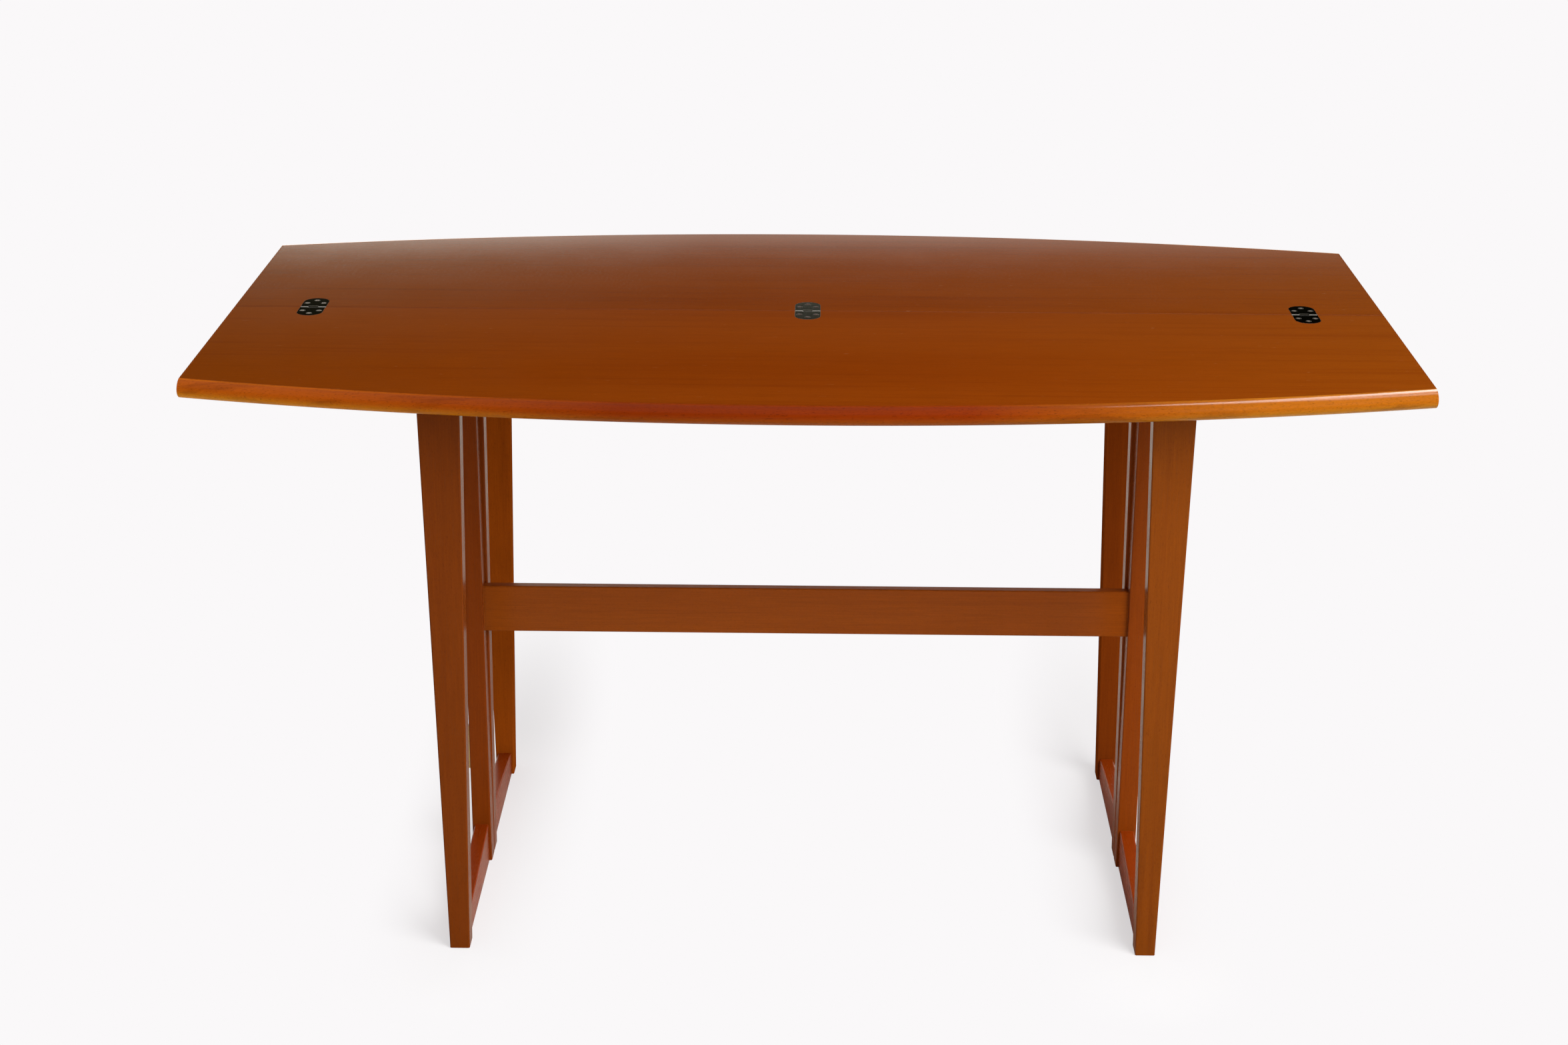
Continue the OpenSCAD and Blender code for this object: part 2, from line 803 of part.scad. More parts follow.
front_leaf();
front_lipping();
front_left_band();
front_right_band();
rear_leaf();
rear_lipping();
rear_left_band();
rear_right_band();
left_front_plate();
left_rear_plate();
left_link();
middle_front_plate();
middle_rear_plate();
middle_link();
right_front_plate();
right_rear_plate();
right_link();
front_link_pins();
rear_link_pins();
front_plate_screws();
rear_plate_screws();
left_front_leg();
left_fixed_post();
left_foot_rail();
left_top_rail();
right_front_leg();
right_fixed_post();
right_foot_rail();
right_top_rail();
stretcher();
stretcher_dowels();
left_frame_dowels();
right_frame_dowels();
top_screws();
left_gate_leg();
left_gate_post();
left_gate_foot_rail();
left_gate_top_rail();
right_gate_leg();
right_gate_post();
right_gate_foot_rail();
right_gate_top_rail();
left_gate_dowels();
right_gate_dowels();
left_post_butts();
left_gate_butts();
left_butt_pins();
right_post_butts();
right_gate_butts();
right_butt_pins();
left_post_butt_screws();
left_gate_butt_screws();
right_post_butt_screws();
right_gate_butt_screws();
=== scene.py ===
"""The flip-top console table, dressed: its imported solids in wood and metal, with new lippings and screws."""

import math

import bpy
from mathutils import Matrix, Vector


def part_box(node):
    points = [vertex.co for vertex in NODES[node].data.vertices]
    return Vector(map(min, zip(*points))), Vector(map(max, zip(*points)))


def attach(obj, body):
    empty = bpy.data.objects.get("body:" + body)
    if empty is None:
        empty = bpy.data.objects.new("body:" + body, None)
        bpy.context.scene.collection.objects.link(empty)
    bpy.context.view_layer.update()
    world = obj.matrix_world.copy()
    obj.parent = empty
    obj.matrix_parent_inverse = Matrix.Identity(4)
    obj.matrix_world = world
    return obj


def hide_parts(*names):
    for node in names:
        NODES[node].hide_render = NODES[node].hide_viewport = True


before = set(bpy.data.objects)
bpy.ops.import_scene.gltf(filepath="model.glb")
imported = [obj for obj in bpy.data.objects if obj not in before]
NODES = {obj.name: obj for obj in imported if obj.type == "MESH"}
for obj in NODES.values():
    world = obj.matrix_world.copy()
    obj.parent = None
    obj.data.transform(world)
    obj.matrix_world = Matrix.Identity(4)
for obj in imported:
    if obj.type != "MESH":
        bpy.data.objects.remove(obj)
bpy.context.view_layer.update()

# Sizes in metres, the same as the part's source
TOP_L = 1.4
TOP_T = 0.022
LEAF_DEPTH = 0.4
EDGE_BOW = 0.083
LIPPING_W = 0.015
NOSE_R = 0.008
GLUE_LINE = 0.0001
TABLE_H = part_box("rear_leaf")[1].z
TRESTLE_X, TRESTLE_Y = 0.418, 0.32

# The hinge screws: where they stand in a plate, then their heads, shanks and cross recesses
SCREW_SITES = (-0.01, 0.017), (0.01, 0.017), (0.0, 0.029)
HEAD_R, HEAD_CROWN, HEAD_RIM, HEAD_SET = 0.0035, 0.0004, 0.0006, 0.00002
SHANK_R, SCREW_L = 0.00175, 0.016
CROSS_DEPTH = 0.0011
ARM_L, ARM_END = 0.00185, 0.0006
ARM_W, ARM_WALL = 0.00058, 0.00025

# How many degrees a screw's cross is turned: the first one, and more for each hinge, each screw and the rear leaf
TURN, HINGE_TURN, SCREW_TURN, REAR_TURN = 17, 53, 31, 40

# How finely the new pieces are divided
LIPPING_STEPS, ARC_STEPS = 160, 8
HEAD_RINGS, HEAD_SECTORS = 26, 48

# How far edges are broken, the angles from which an edge counts, and how close doubled vertices lie
SMALL_BREAK, PLATE_BREAK, LIPPING_BREAK, RAIL_BREAK, LEG_BREAK = 0.0002, 0.0003, 0.0004, 0.0005, 0.0006
SHARP_EDGE, SHARP_NOSE_EDGE = math.radians(32), math.radians(50)
WELD_GAP = 0.00001

# The camera solved from the photograph, whose frame is 2352 pixels wide
FOCAL_PX = 4031.27
PHOTO_W = 2352
SENSOR_W = 36.0
CAMERA_AT = (0.01491, -3.16650, 1.61120)
CAMERA_PITCH, CAMERA_YAW, CAMERA_ROLL = 19.944, -0.772, 0.262


# Nodes

class Tree:
    """Adds nodes to a material or world and links them."""

    def __init__(self, tree):
        self.tree = tree
        tree.nodes.clear()

    def add(self, kind, inputs=None, **settings):
        node = self.tree.nodes.new("ShaderNode" + kind)
        for name, value in settings.items():
            setattr(node, name, value)
        for name, value in (inputs or {}).items():
            self.put(node.inputs[name], value)
        return node

    def put(self, socket, value):
        if isinstance(value, bpy.types.NodeSocket):
            self.tree.links.new(value, socket)
        else:
            socket.default_value = value

    def math(self, operation, a, b=0.0):
        return self.add("Math", {0: a, 1: b}, operation=operation).outputs[0]

    def mix(self, share, a, b, blend="MIX"):
        node = self.add("Mix", data_type="RGBA", blend_type=blend)
        self.put(node.inputs["Factor"], share)
        self.put(node.inputs[6], a)
        self.put(node.inputs[7], b)
        return node.outputs[2]

    def fit(self, value, low, high, to_low=0.0, to_high=1.0, curve="LINEAR"):
        """The value with the range from low to high brought to another range, and held at its ends."""
        node = self.add("MapRange", {"Value": value, "From Min": low, "From Max": high,
                                     "To Min": to_low, "To Max": to_high}, interpolation_type=curve)
        return node.outputs[0]

    def ramp(self, value, stops):
        """A ramp through (position, colour) stops."""
        node = self.add("ValToRGB", {"Fac": value})
        elements = node.color_ramp.elements
        while len(elements) < len(stops):
            elements.new(0.5)
        for element, (position, colour) in zip(elements, stops):
            element.position = position
            element.color = colour + (1.0,)
        return node.outputs[0]

    def noise(self, coords, detail, rough=0.5, twist=0.0):
        node = self.add("TexNoise", {"Vector": coords, "Scale": 1.0, "Detail": detail,
                                     "Roughness": rough, "Distortion": twist})
        return node.outputs[0]

    def stretch(self, coords, scale, offset):
        return self.add("Mapping", {"Vector": coords, "Scale": scale, "Location": offset}).outputs[0]

    def coordinates(self, kind="Object"):
        """The coordinates as one vector, and their X, Y and Z."""
        coords = self.add("TexCoord").outputs[kind]
        return coords, self.add("SeparateXYZ", {0: coords}).outputs


def srgb(r, g, b):
    """A colour written in the photograph's 0 to 255, as Blender's linear colour."""
    return tuple(c / 12.92 if c <= 0.04045 else ((c + 0.055) / 1.055) ** 2.4
                 for c in (r / 255, g / 255, b / 255)) + (1.0,)


def new_material(name):
    material = bpy.data.materials.new(name)
    material.use_nodes = True
    return material, Tree(material.node_tree)


# Materials

# How often each layer of the wood repeats in a metre, along the grain and across it
BROAD, STREAKS, FIBRES = (0.8, 9.0), (1.6, 75.0), (22.0, 900.0)
FLECKS, NICKS = (210.0, 1300.0), (90.0, 620.0)
SPECKLE, SMUDGE = (900.0, 900.0), (14.0, 14.0)

# The same for metal, along X and across it
BRUSHING, TARNISH = (5000.0, 300.0), (260.0, 260.0)

# Where a lipping's painted light begins and where it is full: depths below the top, and X for the nose's painted
# bounce light
LOW_EDGE, UPPER_ARRIS, NOSE = (0.011, 0.0185), (0.0009, 0.0002), (0.008, 0.014)
NOSE_SPAN = 0.35, 0.15

# The dark groove between the leaves: its half width, where it fades out, and its tone
GROOVE, GROOVE_END, GROOVE_TONE = 0.0013, 0.0018, 0.6
NICK_TONE, NICK_SHARE = srgb(196, 150, 110), 0.3

# How wide the rubbed edges are, how deep the grain and the brushing, and where the middle hinge's tone fades in
WOOD_RIM, METAL_RIM = 0.0012, 0.0006
GRAIN_DEPTH, BRUSH_DEPTH = 0.0002, 0.00005
MIDDLE_SPAN = 0.06, 0.04


def grain_scale(axis, along, across):
    """Texture scales that draw a pattern out along one axis."""
    return tuple(along if a == axis else across for a in "xyz")


def worn_edges(t, radius):
    """A mask that is 1 along the edges and 0 on flat faces."""
    rim = t.add("Bevel", {"Radius": radius}, samples=6).outputs[0]
    normal = t.add("NewGeometry").outputs["Normal"]
    facing = t.add("VectorMath", {0: rim, 1: normal}, operation="DOT_PRODUCT")
    return t.fit(facing.outputs["Value"], 0.995, 0.86)


def paint_lipping_light(t, colour, height, across, tones):
    """A lipping's colour, multiplied by painted light: paler at the lower edge and on the nose for bounce light
    from below, and a painted highlight along the upper arris.
    """
    low, high, nose = (t.fit(height, TABLE_H - start, TABLE_H - full)
                       for start, full in (LOW_EDGE, UPPER_ARRIS, NOSE))
    nose = t.math("MULTIPLY", nose, t.fit(across, *NOSE_SPAN))
    for share, tone in zip((low, high, nose), tones):
        colour = t.mix(share, colour, t.mix(1.0, colour, tone, "MULTIPLY"))
    return colour


def wood(name, axis, colours, seed, streak=0.4, fleck=0.35, rough=0.25, shine=0.05, bump=0.12, wear=1.0,
         ends=(), spans=((-0.15, -0.66), (0.15, 0.66)), joint=False, painted_light_tones=()):
    """Lacquered wood with its grain along an axis: broad tone, drawn-out streaks, fine fibres and short flecks.

    ends are the tones of the wood at its left and right ends, reached over spans along X. With joint the wood is
    darker in the groove between the leaves, and a few light nicks lie along its grain. The tones given for a
    lipping multiply its colour as painted light: paler at its lower edge and on its nose for bounce light from
    below, and a painted highlight along its upper arris.
    """
    dark, mid, light = colours
    material, t = new_material(name)
    coords, xyz = t.coordinates()
    offset = (seed * 1.37, seed * 2.11, seed * 0.73)

    def layer(scales, *look):
        return t.noise(t.stretch(coords, grain_scale(axis, *scales), offset), *look)

    broad = layer(BROAD, 3.0, 0.55)
    streaks = layer(STREAKS, 5.0, 0.62, 0.35)
    fibres = layer(FIBRES, 3.0, 0.6)
    fleck_mask = t.fit(layer(FLECKS, 1.0, 0.4), 0.62, 0.72)
    speckle = layer(SPECKLE, 2.0, 0.7)
    smudge = layer(SMUDGE, 3.0, 0.6)

    colour = t.mix(t.fit(broad, 0.32, 0.68), mid, light)
    for end, span in zip(ends, spans):
        colour = t.mix(t.fit(xyz["X"], *span), colour, end)
    colour = t.mix(t.math("MULTIPLY", t.fit(streaks, 0.52, 0.72), streak), colour, dark)
    tone = t.math("MULTIPLY", t.fit(fibres, 0.25, 0.75, 0.86, 1.1), t.fit(speckle, 0.25, 0.75, 0.93, 1.07))
    tone = t.math("MULTIPLY", tone, t.math("SUBTRACT", 1.0, t.math("MULTIPLY", fleck_mask, fleck)))
    # Painted light on a lipping: paler lower edge and nose for bounce light from below, a painted highlight on the
    # upper arris
    if painted_light_tones:
        colour = paint_lipping_light(t, colour, xyz["Z"], xyz["X"], painted_light_tones)
    if joint:
        groove = t.fit(t.math("ABSOLUTE", xyz["Y"]), GROOVE, GROOVE_END, GROOVE_TONE, 1.0)
        tone = t.math("MULTIPLY", tone, groove)
        colour = t.mix(t.fit(layer(NICKS, 0.0), 0.84, 0.92, 0.0, NICK_SHARE), colour, NICK_TONE)
    toned = t.add("VectorMath", {0: colour, "Scale": tone}, operation="SCALE").outputs[0]

    rubbed = tuple(min(c * 1.9 + 0.02, 1.0) for c in light[:3]) + (1.0,)
    arris = t.math("MULTIPLY", worn_edges(t, WOOD_RIM), t.fit(streaks, 0.3, 0.6, 0.25 * wear, 0.65 * wear))
    roughness = t.math("ADD", t.fit(smudge, 0.3, 0.7, rough * 0.85, rough * 1.2),
                       t.fit(fibres, 0.3, 0.7, rough * 0.1, rough * -0.1))
    height = t.math("ADD", t.math("MULTIPLY", fibres, 0.6), t.math("MULTIPLY", fleck_mask, -0.5))
    bumped = t.add("Bump", {"Strength": bump, "Distance": GRAIN_DEPTH, "Height": height})
    shader = t.add("BsdfPrincipled", {
        "Base Color": t.mix(arris, toned, rubbed), "Roughness": roughness, "Normal": bumped.outputs[0],
        "IOR": 1.5, "Specular IOR Level": shine})
    t.add("OutputMaterial", {"Surface": shader.outputs[0]})
    return material


def metal(name, colour, wear, rough, seed, brushed=0.25, flat_tint=1.0, middle=None):
    """Plated metal with fine brushing, cloudy tarnish and rubbed edges.

    wear is the tone of the rubbed edges. flat_tint is how much of its mirror shine the metal keeps at a low angle.
    middle is the tone of what lies close to the middle of the table's length.
    """
    material, t = new_material(name)
    coords, xyz = t.coordinates()
    offset = (seed * 1.7, seed * 0.9, seed * 2.3)
    lines = t.noise(t.stretch(coords, grain_scale("x", *BRUSHING), offset), 2.0, 0.6)
    cloud = t.noise(t.stretch(coords, grain_scale("x", *TARNISH), offset), 3.0, 0.6)
    tone = t.mix(t.fit(cloud, 0.3, 0.7), colour, tuple(c * 0.72 for c in colour[:3]) + (1.0,))
    if middle:
        tone = t.mix(t.fit(t.math("ABSOLUTE", xyz["X"]), *MIDDLE_SPAN), tone, middle)
    worn = worn_edges(t, METAL_RIM)
    tone = t.mix(t.math("MULTIPLY", worn, 0.7), tone, wear)
    roughness = t.math("ADD", t.fit(lines, 0.3, 0.7, rough * 0.8, rough * 1.2),
                       t.fit(cloud, 0.35, 0.7, rough * -0.15, rough * 0.3))
    roughness = t.math("ADD", roughness, t.math("MULTIPLY", worn, 0.4))
    bumped = t.add("Bump", {"Strength": brushed, "Distance": BRUSH_DEPTH, "Height": lines})
    shader = t.add("BsdfPrincipled", {
        "Base Color": tone, "Roughness": roughness, "Metallic": 1.0, "Normal": bumped.outputs[0],
        "Specular Tint": (flat_tint, flat_tint, flat_tint, 1.0)})
    t.add("OutputMaterial", {"Surface": shader.outputs[0]})
    return material


# Pieces

def break_edges(obj, width, angle):
    bevel = obj.modifiers.new("edges", "BEVEL")
    bevel.width = width
    bevel.segments = 2
    bevel.limit_method = "ANGLE"
    bevel.angle_limit = angle


def even_normals(obj, weight):
    normals = obj.modifiers.new("normals", "WEIGHTED_NORMAL")
    normals.keep_sharp = True
    normals.weight = weight


def dress(node, material, edge_break=0.0):
    """Gives a CAD node its material, with the mesh's doubled vertices joined and its edges broken."""
    obj = NODES[node]
    obj.data.materials.clear()
    obj.data.materials.append(material)
    obj.data.polygons.foreach_set("use_smooth", [True] * len(obj.data.polygons))
    obj.modifiers.new("weld", "WELD").merge_threshold = WELD_GAP
    if edge_break:
        break_edges(obj, edge_break, SHARP_EDGE)
    even_normals(obj, 100)


def mesh_object(name, verts, faces, material, smooth=True):
    mesh = bpy.data.meshes.new(name)
    mesh.from_pydata(verts, [], faces)
    mesh.validate()
    mesh.polygons.foreach_set("use_smooth", [smooth] * len(mesh.polygons))
    mesh.materials.append(material)
    obj = bpy.data.objects.new(name, mesh)
    bpy.context.scene.collection.objects.link(obj)
    return obj


def lipping_profile():
    """The bull nose as (outwards, up) points from the upper arris round to the lower one."""
    half = TOP_T / 2
    nose_x = LIPPING_W - NOSE_R
    shoulder_r = (nose_x ** 2 + half ** 2 - NOSE_R ** 2) / (TOP_T - 2 * NOSE_R)
    touch = math.atan2(nose_x, shoulder_r - NOSE_R)
    upper = []
    for k in range(ARC_STEPS + 1):
        a = touch * k / ARC_STEPS
        upper.append((shoulder_r * math.sin(a), half - shoulder_r + shoulder_r * math.cos(a)))
    for k in range(1, ARC_STEPS + 1):
        a = touch + (math.pi / 2 - touch) * k / ARC_STEPS
        upper.append((nose_x + NOSE_R * math.sin(a), NOSE_R * math.cos(a)))
    return upper + [(u, -v) for u, v in reversed(upper[:-1])]


def make_lipping(name, side, material):
    """The solid wood lipping of one leaf: the bull nose swept along the bow and cut square at its ends."""
    flat_mid = LEAF_DEPTH - LIPPING_W - GLUE_LINE
    bow_r = ((TOP_L / 2) ** 2 + EDGE_BOW ** 2) / (2 * EDGE_BOW)
    centre_y = flat_mid - bow_r
    mid_z = TABLE_H - TOP_T / 2
    profile = lipping_profile()
    verts, faces = [], []
    for i in range(LIPPING_STEPS + 1):
        along = 2 * i / LIPPING_STEPS - 1
        for u, v in profile:
            r = bow_r + GLUE_LINE + u
            a = along * math.asin(TOP_L / 2 / r)
            verts.append((r * math.sin(a), side * (centre_y + r * math.cos(a)), mid_z + v))
    n = len(profile)
    for i in range(LIPPING_STEPS):
        for k in range(n):
            a, b = i * n + k, i * n + (k + 1) % n
            faces.append((a, b, b + n, a + n))
    faces += [tuple(reversed(range(n))), tuple(LIPPING_STEPS * n + k for k in range(n))]
    if side > 0:
        faces = [face[::-1] for face in faces]
    obj = mesh_object(name, verts, faces, material)
    break_edges(obj, LIPPING_BREAK, SHARP_NOSE_EDGE)
    even_normals(obj, 50)
    return obj


def cross_arm(along, across):
    """How deep the cross recess is, from 0 to 1, at a point beside one of its arms."""
    end = min(max((ARM_L - along) / ARM_END, 0.0), 1.0)
    wall = min(max((ARM_W - across) / ARM_WALL, 0.0), 1.0)
    return end * wall


def add_screw(verts, faces, centre, turn):
    """An oval-head screw pointing down, with its head's crown at the centre and its cross turned by an angle."""
    def ring(r, depth):
        for j in range(HEAD_SECTORS):
            a = 2 * math.pi * j / HEAD_SECTORS
            verts.append(centre + Vector((r * math.cos(a), r * math.sin(a), depth(a))))

    def crown(r):
        def depth(a):
            u, v = abs(r * math.cos(a - turn)), abs(r * math.sin(a - turn))
            cut = max(cross_arm(u, v), cross_arm(v, u))
            return -HEAD_SET - HEAD_CROWN * (r / HEAD_R) ** 2 - CROSS_DEPTH * cut
        return depth

    start = len(verts)
    verts.append(centre - Vector((0, 0, CROSS_DEPTH)))
    for i in range(1, HEAD_RINGS + 1):
        r = HEAD_R * i / HEAD_RINGS
        ring(r, crown(r))
    stem = ((HEAD_R, -HEAD_RIM), (SHANK_R, -HEAD_RIM - HEAD_R + SHANK_R), (SHANK_R, 2 * SHANK_R - SCREW_L),
            (SHANK_R * 0.1, -SCREW_L))
    for r, z in stem:
        ring(r, lambda a: z)
    for j in range(HEAD_SECTORS):
        faces.append((start, start + 1 + j, start + 1 + (j + 1) % HEAD_SECTORS))
    rings = HEAD_RINGS + len(stem)
    for i in range(rings - 1):
        a, b = start + 1 + i * HEAD_SECTORS, start + 1 + (i + 1) * HEAD_SECTORS
        for j in range(HEAD_SECTORS):
            k = (j + 1) % HEAD_SECTORS
            faces.append((a + j, b + j, b + k, a + k))
    last = start + 1 + (rings - 1) * HEAD_SECTORS
    faces.append(tuple(range(last, last + HEAD_SECTORS)))


def make_plate_screws(name, side, material):
    """The nine screws of one leaf's hinge plates, each with its cross turned its own way."""
    verts, faces = [], []
    for h, hinge in enumerate(("left", "middle", "right")):
        low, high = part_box(hinge + ("_rear_plate" if side > 0 else "_front_plate"))
        for k, (dx, dy) in enumerate(SCREW_SITES):
            centre = Vector(((low.x + high.x) / 2 + dx, side * dy, TABLE_H))
            turn = TURN + HINGE_TURN * h + SCREW_TURN * k + (REAR_TURN if side > 0 else 0)
            add_screw(verts, faces, centre, math.radians(turn))
    return mesh_object(name, verts, faces, material)


# Each wood: its dark, middle and light tones, and what its left and right ends turn to
VENEER = srgb(107, 40, 3), srgb(125, 52, 4), srgb(132, 58, 6)
VENEER_ENDS = srgb(131, 60, 7), srgb(130, 61, 7)
REAR_VENEER = srgb(103, 39, 3), srgb(120, 50, 4), srgb(127, 56, 6)
REAR_VENEER_ENDS = srgb(126, 57, 6), srgb(125, 58, 6)
LIPPING = srgb(78, 22, 0), srgb(100, 29, 0), srgb(112, 37, 2)
LIPPING_ENDS = srgb(168, 78, 9), srgb(142, 77, 9)
LIPPING_SPANS = (-0.2, -0.7), (0.18, 0.5)
# The lipping's painted light as factors: paler at the lower edge, a painted highlight along the upper arris, paler
# on the nose
LIPPING_PAINTED_LIGHT = (1.45, 2.0, 2.0, 1.0), (1.3, 1.5, 2.0, 1.0), (1.13, 1.52, 1.1, 1.0)
LEG = srgb(93, 38, 5), srgb(109, 48, 7), srgb(117, 54, 9)
LEG_ENDS = srgb(109, 48, 6), srgb(113, 54, 7)
LEG_SPANS = (-0.2, -0.4), (0.2, 0.4)
POST = srgb(96, 37, 4), srgb(113, 47, 6), srgb(121, 53, 8)
# The gate legs' wood is painted lighter than the legs, for light that reaches them under the top; its ends set how
# light each gate leg is painted
PAINTED_LIGHT_GATE = srgb(124, 55, 8), srgb(146, 68, 11), srgb(154, 74, 14)
PAINTED_LIGHT_GATE_ENDS = srgb(143, 66, 11), srgb(109, 46, 8)
RAIL = srgb(104, 35, 3), srgb(124, 44, 5), srgb(135, 51, 7)
STRETCHER = srgb(104, 45, 7), srgb(123, 56, 9), srgb(132, 63, 12)
DOWEL = srgb(170, 140, 100), srgb(205, 178, 135), srgb(215, 190, 150)

# Each metal: its tone and its rubbed edges' tone
NICKEL = (0.3, 0.285, 0.25, 1.0), (0.5, 0.47, 0.42, 1.0)
STEEL = (0.52, 0.5, 0.47, 1.0), (0.5, 0.48, 0.45, 1.0)
SCREW = (0.46, 0.38, 0.31, 1.0), (0.7, 0.63, 0.55, 1.0)
SCREW_BROWN = (0.16, 0.06, 0.04, 1.0)
BRASS = (0.6, 0.42, 0.16, 1.0), (0.75, 0.6, 0.32, 1.0)

POLISH = {"streak": 0.38, "fleck": 0.14, "rough": 0.07, "shine": 0.12, "bump": 0.03, "wear": 0.1}

front_top = wood("veneer_front", "x", VENEER, 1, ends=VENEER_ENDS, joint=True, **POLISH)
rear_top = wood("veneer_rear", "x", REAR_VENEER, 4, ends=REAR_VENEER_ENDS, joint=True, **POLISH)
lip_wood = wood("lipping_beech", "x", LIPPING, 2, streak=0.45, fleck=0.4, rough=0.12, bump=0.06,
                ends=LIPPING_ENDS, spans=LIPPING_SPANS, painted_light_tones=LIPPING_PAINTED_LIGHT)
leg_wood = wood("leg_beech", "z", LEG, 3, fleck=0.2, ends=LEG_ENDS, spans=LEG_SPANS)
post_wood = wood("post_beech", "z", POST, 8, fleck=0.2)
# The gate legs' wood, painted lighter for the light they get under the top
painted_light_gate_wood = wood("gate_beech_painted_light", "z", PAINTED_LIGHT_GATE, 9, fleck=0.2, shine=0.0, ends=PAINTED_LIGHT_GATE_ENDS, spans=LEG_SPANS)
rail_wood = wood("rail_beech", "y", RAIL, 5, fleck=0.2)
stretcher_wood = wood("stretcher_beech", "x", STRETCHER, 6, fleck=0.2, rough=0.15, shine=0.08)
dowel_wood = wood("dowel_beech", "y", DOWEL, 7, rough=0.6, shine=0.0, bump=0.2)
plate_metal = metal("dark_nickel", *NICKEL, 0.06, 1, brushed=0.05, flat_tint=0.25)
worn_plate_metal = metal("worn_nickel", *NICKEL, 0.12, 5, brushed=0.05)
steel_metal = metal("bright_steel", *STEEL, 0.28, 2)
screw_metal = metal("screw_nickel", *SCREW, 0.2, 4, brushed=0.15, middle=SCREW_BROWN)
brass_metal = metal("satin_brass", *BRASS, 0.32, 3, brushed=0.2)

for n in NODES:
    if n.endswith("dowels"):
        dress(n, dowel_wood)
    elif n.endswith(("post_butts", "gate_butts")):
        dress(n, brass_metal, SMALL_BREAK)
    elif "butt_screws" in n:
        dress(n, brass_metal)
    elif n.endswith(("pins", "screws")):
        dress(n, steel_metal)
    elif n.endswith(("_plate", "_link")):
        dress(n, worn_plate_metal if n.startswith("middle") else plate_metal, PLATE_BREAK)
    elif n.endswith(("_leaf", "_band")):
        dress(n, rear_top if n.startswith("rear") else front_top, SMALL_BREAK)
    elif n.endswith(("_foot_rail", "_top_rail")):
        dress(n, rail_wood, RAIL_BREAK)
    elif n == "stretcher":
        dress(n, stretcher_wood, RAIL_BREAK)
    elif n.endswith("_post"):
        dress(n, post_wood, LEG_BREAK)
    elif n.endswith("_leg"):
        dress(n, painted_light_gate_wood if "gate" in n else leg_wood, LEG_BREAK)

lippings = []
for name, side, body in (("front_lipping", -1, "base"), ("rear_lipping", 1, "rear_leaf")):
    piece = make_lipping(name + "_nose", side, lip_wood)
    lippings.append(piece)
    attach(piece, body)
    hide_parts(name)

for name, side, body in (("front_plate_screws", -1, "base"), ("rear_plate_screws", 1, "rear_leaf")):
    piece = make_plate_screws(name + "_turned", side, screw_metal)
    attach(piece, body)
    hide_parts(name)


# Stage: floor, world, card, lamps and camera

BACKDROP = srgb(250, 248, 249)
FLOOR_R, FLOOR_Z = 30, -0.0005
FLOOR_LEFT, FLOOR_RIGHT = (0.8, 0.8, 0.8, 1.0), (0.66, 0.66, 0.66, 1.0)
FLOOR_MIRRORED = (0.72, 0.66, 0.58, 1.0)

# From which X to which the floor's tone goes from the left one to the right one
FLOOR_SPAN = -0.5, 0.6

# How far from the trestles the camera sees the floor's shadow, and how much of it; lengthwise the distance
# grows to SHADOW_FAR over these lengths in front of the feet and behind them
SHADOW_REACH, SHADOW_SHARE = 0.14, 0.4
SHADOW_FRONT, SHADOW_BACK, SHADOW_FAR = 0.2, 1.0, 0.2

# The world's light, and what reflections see of it: along one direction, from and to, and the strengths there
WORLD_FILL = 0.33
HORIZON, ZENITH, AROUND = (0.0, 0.12, 0.6, 0.0), (0.55, 0.95, 0.0, 1.1), (0.9, 0.5, 0.0, 0.14)

# The card that reflections see: half its length, its place and its height, its strength along X (from and to,
# and the strengths there), and how it fades between two heights
CARD_X, CARD_Y, CARD_TOP = 4, 2.0, 1.4
CARD_LEFT, CARD_RIGHT = (-0.95, -0.2, 2.8, 1.1), (0.2, 1.0, 1.0, 0.7)
FADE_START = 1.1
CARD_FADE = [(0.0, (1.0, 1.0, 0.9)), (0.08, (0.85, 0.85, 0.76)), (0.17, (0.42, 0.42, 0.36)),
             (0.23, (0.2, 0.2, 0.16)), (0.3, (0.12, 0.12, 0.085)), (0.4, (0.065, 0.065, 0.043)),
             (0.57, (0.04, 0.04, 0.026)), (0.7, (0.02, 0.02, 0.012)), (1.0, (0.0, 0.0, 0.0))]


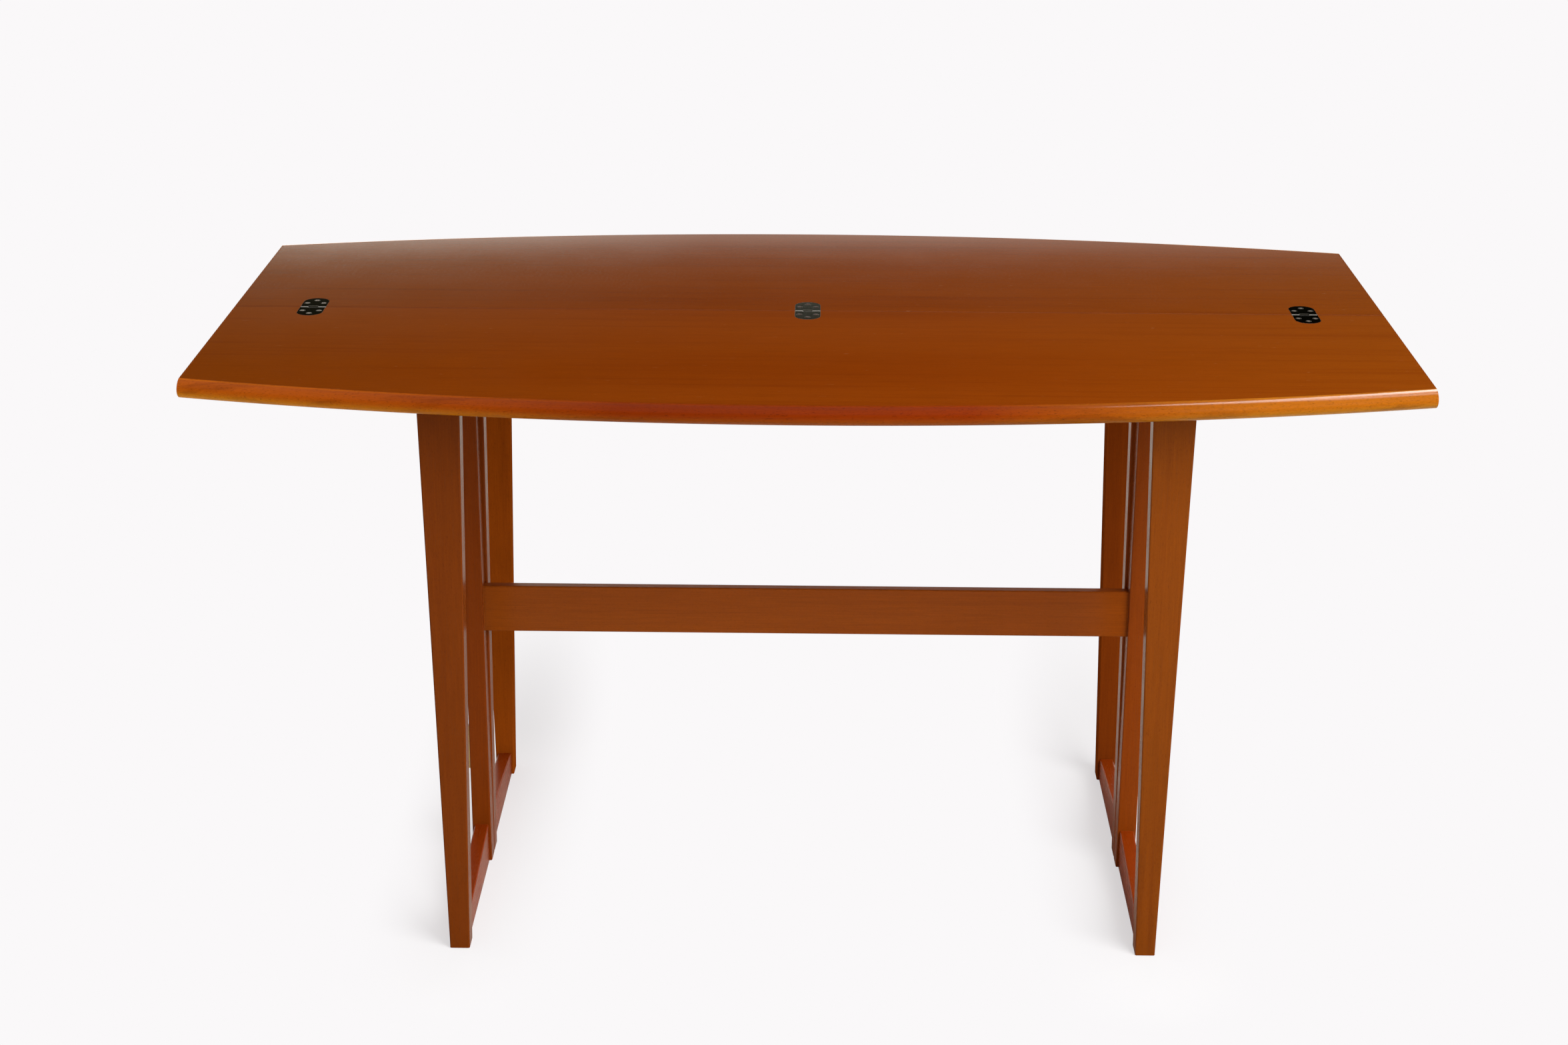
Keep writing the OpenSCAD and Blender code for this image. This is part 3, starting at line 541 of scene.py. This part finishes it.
def make_floor():
    """A floor that is plain white to the camera, apart from the shadow close round the two trestles' feet."""
    material, t = new_material("floor")
    path = t.add("LightPath").outputs
    xyz = t.coordinates()[1]
    pale = t.mix(t.fit(xyz["X"], *FLOOR_SPAN), FLOOR_LEFT, FLOOR_RIGHT)
    tone = t.mix(path["Is Glossy Ray"], pale, FLOOR_MIRRORED)
    shade = t.add("BsdfDiffuse", {"Color": tone, "Roughness": 0.5})
    white = t.add("Emission", {"Color": BACKDROP, "Strength": 1.0})
    aside = t.math("SUBTRACT", t.math("ABSOLUTE", xyz["X"]), TRESTLE_X)
    before = t.fit(xyz["Y"], -TRESTLE_Y - SHADOW_FRONT, -TRESTLE_Y, SHADOW_FAR, 0.0)
    behind = t.fit(xyz["Y"], TRESTLE_Y, TRESTLE_Y + SHADOW_BACK, 0.0, SHADOW_FAR)
    beyond = t.math("MAXIMUM", before, behind)
    offset = t.add("CombineXYZ", {"X": aside, "Y": beyond}).outputs[0]
    away = t.add("VectorMath", {0: offset}, operation="LENGTH").outputs["Value"]
    clear = t.fit(away, 0.0, SHADOW_REACH, 1.0 - SHADOW_SHARE, 1.0, "SMOOTHSTEP")
    share = t.math("MULTIPLY", path["Is Camera Ray"], clear)
    shown = t.add("MixShader", {0: share, 1: shade.outputs[0], 2: white.outputs[0]})
    t.add("OutputMaterial", {"Surface": shown.outputs[0]})
    bpy.ops.mesh.primitive_circle_add(vertices=128, radius=FLOOR_R, fill_type="NGON", location=(0, 0, FLOOR_Z))
    floor = bpy.context.object
    floor.name = "floor"
    floor.data.materials.append(material)


def make_world():
    """An even pale light, behind which reflections see a faint horizon, a bright zenith and a low glow around."""
    world = bpy.data.worlds.new("studio")
    world.use_nodes = True
    bpy.context.scene.world = world
    t = Tree(world.node_tree)
    path = t.add("LightPath").outputs
    toward = t.coordinates("Generated")[1]
    horizon = t.fit(toward["Z"], *HORIZON)
    zenith = t.fit(toward["Z"], *ZENITH)
    around = t.fit(toward["Y"], *AROUND)
    mirrored = t.math("ADD", t.math("ADD", horizon, zenith), around)
    fill = t.add("Background", {"Color": (1.0, 1.0, 1.0, 1.0), "Strength": WORLD_FILL})
    mirror = t.add("Background", {"Color": BACKDROP, "Strength": mirrored})
    back = t.add("Background", {"Color": BACKDROP, "Strength": 1.0})
    through = t.math("MAXIMUM", path["Is Glossy Ray"], path["Is Transmission Ray"])
    unseen = t.add("MixShader", {0: through, 1: fill.outputs[0], 2: mirror.outputs[0]})
    both = t.add("MixShader", {0: path["Is Camera Ray"], 1: unseen.outputs[0], 2: back.outputs[0]})
    t.add("OutputWorld", {"Surface": both.outputs[0]})


def make_card():
    """A pale card behind the table, fading out upwards and to the right, that only reflections see."""
    material, t = new_material("card")
    xyz = t.coordinates()[1]
    across = t.math("MULTIPLY", t.fit(xyz["X"], *CARD_LEFT), t.fit(xyz["X"], *CARD_RIGHT))
    tone = t.ramp(t.fit(xyz["Z"], FADE_START, CARD_TOP), CARD_FADE)
    glow = t.add("Emission", {"Color": tone, "Strength": across})
    t.add("OutputMaterial", {"Surface": glow.outputs[0]})
    corners = [(-CARD_X, CARD_Y, 0), (CARD_X, CARD_Y, 0), (CARD_X, CARD_Y, CARD_TOP), (-CARD_X, CARD_Y, CARD_TOP)]
    card = mesh_object("card", corners, [(0, 1, 2, 3)], material, smooth=False)
    card.visible_camera = False
    card.visible_diffuse = False
    card.visible_shadow = False


def lamp(name, at, look_at, size, power, mirrored_in=()):
    """A soft lamp that no reflection shows, or one that is only seen mirrored, in the pieces that are given."""
    light = bpy.data.lights.new(name, "AREA")
    light.shape = "RECTANGLE"
    light.size, light.size_y = size
    light.energy = power
    obj = bpy.data.objects.new(name, light)
    bpy.context.scene.collection.objects.link(obj)
    obj.location = at
    obj.rotation_euler = (Vector(look_at) - Vector(at)).to_track_quat("-Z", "Y").to_euler()
    obj.visible_glossy = bool(mirrored_in)
    if mirrored_in:
        obj.visible_diffuse = False
        seen_by = bpy.data.collections.new(name + "_seen_by")
        for mirror in mirrored_in:
            seen_by.objects.link(mirror)
        obj.light_linking.receiver_collection = seen_by


def make_camera():
    """The camera at the solved place: pitch down, yaw to the right, roll of the frame, all in degrees."""
    pitch, yaw, roll = (math.radians(a) for a in (CAMERA_PITCH, CAMERA_YAW, CAMERA_ROLL))
    ahead = Vector((math.sin(yaw) * math.cos(pitch), math.cos(yaw) * math.cos(pitch), -math.sin(pitch)))
    right = Vector((math.cos(yaw), -math.sin(yaw), 0.0))
    up = right.cross(ahead)
    x = math.cos(roll) * right + math.sin(roll) * up
    y = -math.sin(roll) * right + math.cos(roll) * up
    camera = bpy.data.cameras.new("camera")
    camera.sensor_width = SENSOR_W
    camera.lens = FOCAL_PX / PHOTO_W * SENSOR_W
    camera.clip_end = 100.0
    obj = bpy.data.objects.new("camera", camera)
    bpy.context.scene.collection.objects.link(obj)
    turn = Matrix((x, y, -ahead)).transposed().to_4x4()
    obj.matrix_world = Matrix.Translation(CAMERA_AT) @ turn
    bpy.context.scene.camera = obj


make_floor()
make_world()
make_card()
lamp("key", (1.6, -1.7, 2.0), (0.1, 0.0, 0.5), (1.8, 1.8), 102.0)
lamp("front", (0.4, -3.3, 0.8), (0.0, 0.0, 0.4), (2.4, 0.8), 18.0)
lamp("overhead", (0.2, -0.3, 2.9), (0.0, 0.0, 0.6), (2.4, 1.6), 12.0)
lamp("back", (0.3, 3.4, 0.9), (0.0, 0.0, 0.4), (2.4, 0.8), 55.0)
lamp("left", (-3.2, 0.8, 0.9), (0.0, 0.0, 0.4), (1.6, 0.8), 22.0)
lamp("right", (3.2, 1.2, 0.9), (0.0, 0.0, 0.4), (1.6, 0.8), 14.0)
lamp("wall", (0.0, 2.2, 1.3), (0.0, 0.0, 0.38), (3.0, 0.5), 22.0, mirrored_in=[NODES["stretcher"]])
lamp("skylight", (1.6, 0.15, 2.5), (0.65, -0.33, 0.74), (0.7, 0.9), 42.0, mirrored_in=lippings)
lamp("window", (1.27, 0.95, 2.35), (0.6, -0.33, 0.74), (0.5, 1.9), 100.0, mirrored_in=lippings)
make_camera()
bpy.context.scene.view_settings.view_transform = "Standard"
